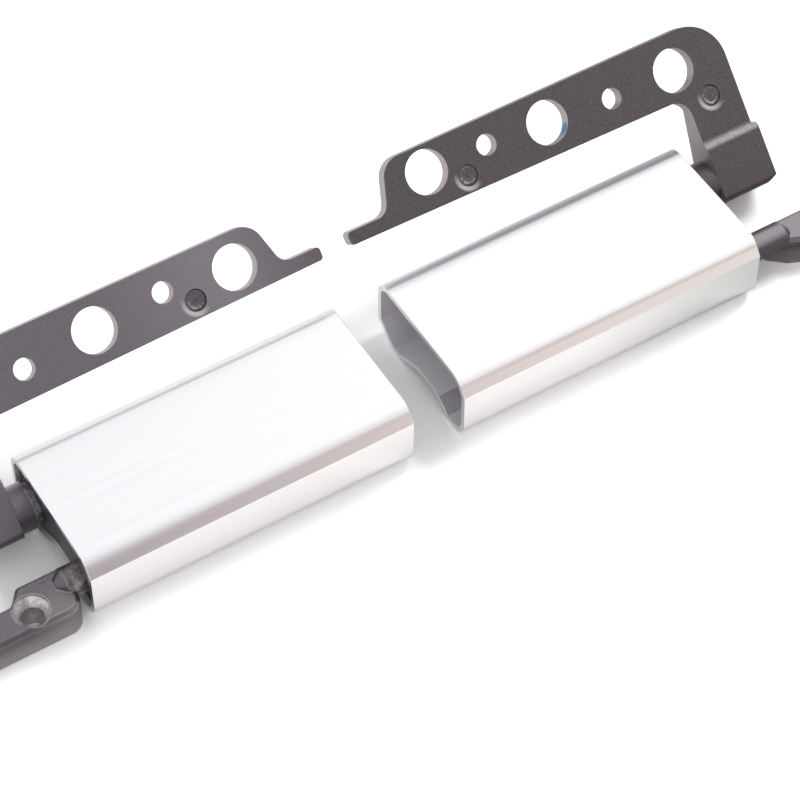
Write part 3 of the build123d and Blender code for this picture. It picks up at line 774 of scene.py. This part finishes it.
def thread_tree():
    """Geometry nodes: a ridge that winds along +X as a screw thread does."""
    tree = bpy.data.node_groups.new("thread_ridge", "GeometryNodeTree")
    for label, kind in (
        ("Radius", FLOAT),
        ("Length", FLOAT),
        ("Pitch", FLOAT),
        ("Ridge", FLOAT),
        ("Start", VECTOR),
        ("Finish", "NodeSocketMaterial"),
    ):
        tree.interface.new_socket(label, in_out="INPUT", socket_type=kind)
    tree.interface.new_socket("Thread", in_out="OUTPUT", socket_type="NodeSocketGeometry")
    given = tree.nodes.new("NodeGroupInput").outputs
    result = tree.nodes.new("NodeGroupOutput").inputs
    winding = {
        "Resolution": THREAD_STEPS,
        "Rotations": arithmetic(tree, "DIVIDE", given["Length"], given["Pitch"]),
        "Start Radius": given["Radius"],
        "End Radius": given["Radius"],
        "Height": given["Length"],
    }
    helix = add_node(tree, "GeometryNodeCurveSpiral", winding).outputs["Curve"]
    ring = {"Resolution": THREAD_SIDES, "Radius": given["Ridge"]}
    section = add_node(tree, "GeometryNodeCurvePrimitiveCircle", ring).outputs["Curve"]
    swept = {"Curve": helix, "Profile Curve": section, "Fill Caps": True}
    ridge = add_node(tree, "GeometryNodeCurveToMesh", swept).outputs["Mesh"]
    lying = {"Geometry": ridge, "Translation": given["Start"], "Rotation": (0, pi / 2, 0)}
    laid = add_node(tree, "GeometryNodeTransform", lying).outputs["Geometry"]
    realized = add_node(tree, "GeometryNodeRealizeInstances", {0: laid}).outputs[0]
    dressed = {"Geometry": realized, "Material": given["Finish"]}
    finished = add_node(tree, "GeometryNodeSetMaterial", dressed).outputs["Geometry"]
    tree.links.new(finished, result["Thread"])
    return tree


def grown_mesh(name, tree, values):
    """The plain mesh that a geometry node tree makes from named inputs."""
    carrier = bpy.data.objects.new("carrier", bpy.data.meshes.new("carrier"))
    bpy.context.scene.collection.objects.link(carrier)
    growth = carrier.modifiers.new("growth", "NODES")
    growth.node_group = tree
    for socket in tree.interface.items_tree:
        if socket.item_type == "SOCKET" and socket.in_out == "INPUT" and socket.name in values:
            growth[socket.identifier] = values[socket.name]
    grown = carrier.evaluated_get(bpy.context.evaluated_depsgraph_get())
    mesh = bpy.data.meshes.new_from_object(grown)
    mesh.name = name
    carrier.modifiers.remove(growth)
    bpy.data.objects.remove(carrier)
    return mesh


def add_nuts_and_threads():
    tree = thread_tree()
    for side in SIDES:
        for shaft in SHAFTS:
            node = f"{side}_{shaft}_lock_nut"
            body = f"{side}_{shaft}"
            name = f"{side}_{shaft}_nut"
            nut = piece_from(name, lathed_nut(node), body, "nut_steel")
            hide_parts(node)
            nut_low, nut_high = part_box(node)
            shaft_low, shaft_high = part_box(f"{side}_{shaft}_shaft")
            if side == "right":
                start, end = shaft_low.x, nut_low.x
            else:
                start, end = nut_high.x, shaft_high.x
            middle = (nut_low + nut_high) / 2
            winding = {
                "Radius": THREAD_RADIUS,
                "Length": end - start - THREAD_RIDGE,
                "Pitch": THREAD_PITCH,
                "Ridge": THREAD_RIDGE,
                "Start": (start + THREAD_RIDGE / 2, middle.y, middle.z),
                "Finish": FINISHES["shaft_steel"],
            }
            mesh = grown_mesh(f"{side}_{shaft}_thread", tree, winding)
            piece_from(mesh.name, mesh, body)


def hammered_floor(name, centre, seed):
    """The rough bottom of a punched dimple: a low crust with a raised rim."""
    chance = np.random.default_rng(seed)
    shape = bmesh.new()
    hub = shape.verts.new(centre + FLOOR_HUB * STRIP_NORMAL)
    rows = []
    for ring in range(1, FLOOR_RINGS + 1):
        share = ring / FLOOR_RINGS
        on_rim = max(0.0, 1 - abs(share - FLOOR_RIM_AT) / FLOOR_RIM_SPREAD)
        row = []
        for step in range(FLOOR_STEPS):
            turn = tau * step / FLOOR_STEPS
            lift = 0.0 if ring == FLOOR_RINGS else chance.uniform(0.0, FLOOR_CRUST)
            to_lip = max(0.0, cos(turn - DIMPLE_GLINT_TURN))
            rim = FLOOR_RIM_LEAST + (1 - FLOOR_RIM_LEAST) * to_lip
            lift += rim * FLOOR_RIM * on_rim
            out = cos(turn) * Vector((1, 0, 0)) + sin(turn) * STRIP_UP
            spot = centre + share * FLOOR_RADIUS * out
            row.append(shape.verts.new(spot + (lift + FLOOR_LIFT) * STRIP_NORMAL))
        rows.append(row)
    for step in range(FLOOR_STEPS):
        shape.faces.new((hub, rows[0][step], rows[0][(step + 1) % FLOOR_STEPS]))
    rows.append([shape.verts.new(v.co - FLOOR_SKIRT * STRIP_NORMAL) for v in rows[-1]])
    for this, following in zip(rows, rows[1:]):
        joined_rows(shape, this, following)
    shape.faces.new(rows[-1][::-1])
    for face in shape.faces:
        face.smooth = True
    return mesh_of(name, shape)


def add_dimple_floors():
    seed = FLOOR_FIRST_SEED
    for side in SIDES:
        for number, (x, up) in enumerate(DIMPLE_PLACES[side], start=1):
            centre = strip_point(side, x * MM, up * MM, FLOOR_RISE)
            name = f"{side}_display_dimple_floor_{number}"
            mesh = hammered_floor(name, centre, seed)
            piece_from(name, mesh, f"{side}_display", "dimple_steel")
            seed += 1


# Stage -----------------------------------------------------------------------


def stage_sheet(name, corners, finish_name):
    """A sheet with four corners, and its material's empty node tree."""
    mesh = bpy.data.meshes.new(name)
    mesh.from_pydata(corners, [], [(0, 1, 2, 3)])
    sheet = bpy.data.objects.new(name, mesh)
    bpy.context.scene.collection.objects.link(sheet)
    finish = bpy.data.materials.new(finish_name)
    finish.use_nodes = True
    finish.node_tree.nodes.clear()
    mesh.materials.append(finish)
    return sheet, finish.node_tree


def table_top():
    """A plain white table that keeps the pair's shadow.

    The camera and the metal see it a little over white, as the photograph does.
    """
    reach = TABLE_REACH
    corners = [(-reach, -reach, 0), (reach, -reach, 0), (reach, reach, 0), (-reach, reach, 0)]
    table, tree = stage_sheet("table", corners, "table_white")
    x, y, _ = along_axes(tree, position(tree))
    ahead = ranged(tree, y, *TABLE_NEAR, *TABLE_IN_METAL)
    level = product(tree, ahead, ranged(tree, x, *TABLE_DUSK))
    in_metal = add_node(
        tree, "ShaderNodeVectorMath", {0: TABLE_TINT, "Scale": level}, operation="SCALE"
    ).outputs[0]
    path = add_node(tree, "ShaderNodeLightPath").outputs
    tone = blended(tree, path["Is Glossy Ray"], (TABLE_WHITE,) * 3, in_metal)
    tone = blended(tree, path["Is Camera Ray"], tone, (TABLE_SEEN,) * 3)
    matt = add_node(tree, "ShaderNodeBsdfDiffuse", {"Color": tone})
    add_node(tree, "ShaderNodeOutputMaterial", {"Surface": matt.outputs[0]})


def rear_shade_card():
    """A painted reflection of shade: a small lavender-grey card behind the right hinge, seen only
    in its metal.
    """
    left, right, back, low, high = REAR_SHADE_CARD
    corners = [(left, back, low), (right, back, low), (right, back, high), (left, back, high)]
    shade_card, tree = stage_sheet("shade_card", corners, "shade_card_grey")
    glow = add_node(tree, "ShaderNodeEmission", {"Color": (*SHADE_CARD_TONE, 1), "Strength": 1.0})
    add_node(tree, "ShaderNodeOutputMaterial", {"Surface": glow.outputs[0]})
    shade_card.visible_camera = False
    shade_card.visible_diffuse = False
    shade_card.visible_shadow = False
    shade_card.visible_transmission = False


def studio_world():
    """A white tent with a dim opening in front, which only the metal shows.

    The opening is darkest to the left and low down, and fades upwards and to
    the right. Far to the left it ends. All other rays see even, soft light.
    """
    world = bpy.data.worlds.new("studio")
    bpy.context.scene.world = world
    world.use_nodes = True
    tree = world.node_tree
    tree.nodes.clear()
    x, y, z = along_axes(tree, add_node(tree, "ShaderNodeTexCoord").outputs["Generated"])
    to_right = ranged(tree, x, *OPENING_SPREAD)
    forward = product(tree, y, -1.0)
    height = arithmetic(tree, "DEGREES", arithmetic(tree, "ARCTAN2", z, forward))
    foot = ranged(tree, to_right, 0.0, 1.0, *OPENING_FOOT)
    head = ranged(tree, to_right, 0.0, 1.0, *OPENING_TOP)
    opening = blended(tree, to_right, *OPENING_TONES)
    tent = blended(tree, to_right, *TENT_TONES)
    low, middle, high, depth = OPENING_BAR
    rising = ranged(tree, height, low, middle, 0.0, depth)
    falling = ranged(tree, height, middle, high, 1.0, 0.0)
    reflected = blended(tree, ranged(tree, height, foot, head), opening, tent)
    bar = product(tree, rising, falling, to_right)
    reflected = blended(tree, bar, reflected, OPENING_BAR_TONE)
    reflected = blended(tree, ranged(tree, x, *OPENING_LEFT), tent, reflected)

    path = add_node(tree, "ShaderNodeLightPath").outputs
    tone = blended(tree, path["Is Glossy Ray"], (SOFT_LIGHT,) * 3, reflected)
    seen = arithmetic(tree, "MAXIMUM", path["Is Camera Ray"], path["Is Transmission Ray"])
    tone = blended(tree, seen, tone, (1.0, 1.0, 1.0))
    glow = add_node(tree, "ShaderNodeBackground", {"Color": tone, "Strength": 1.0})
    add_node(tree, "ShaderNodeOutputWorld", {"Surface": glow.outputs[0]})


def softbox():
    """The one lamp, which the metal doesn't mirror."""
    data = bpy.data.lights.new("right_softbox", "AREA")
    data.shape = "SQUARE"
    data.size = LAMP_SIZE
    data.energy = LAMP_ENERGY
    data.color = LAMP_COLOUR
    made = bpy.data.objects.new("right_softbox", data)
    bpy.context.scene.collection.objects.link(made)
    made.location = LAMP_PLACE
    made.rotation_euler = (-Vector(LAMP_PLACE)).to_track_quat("-Z", "Y").to_euler()
    made.visible_glossy = False


def camera():
    data = bpy.data.cameras.new("camera")
    data.lens = CAMERA_LENS
    data.sensor_width = CAMERA_SENSOR
    data.sensor_fit = "HORIZONTAL"
    data.clip_start, data.clip_end = CAMERA_CLIP
    made = bpy.data.objects.new("camera", data)
    bpy.context.scene.collection.objects.link(made)
    made.location = CAMERA_PLACE
    made.rotation_euler = Euler([radians(a) for a in CAMERA_TURN], "XYZ")
    bpy.context.scene.camera = made


dress_cad_nodes()
add_nuts_and_threads()
add_dimple_floors()
table_top()
rear_shade_card()
studio_world()
softbox()
camera()
bpy.context.scene.view_settings.view_transform = "Standard"
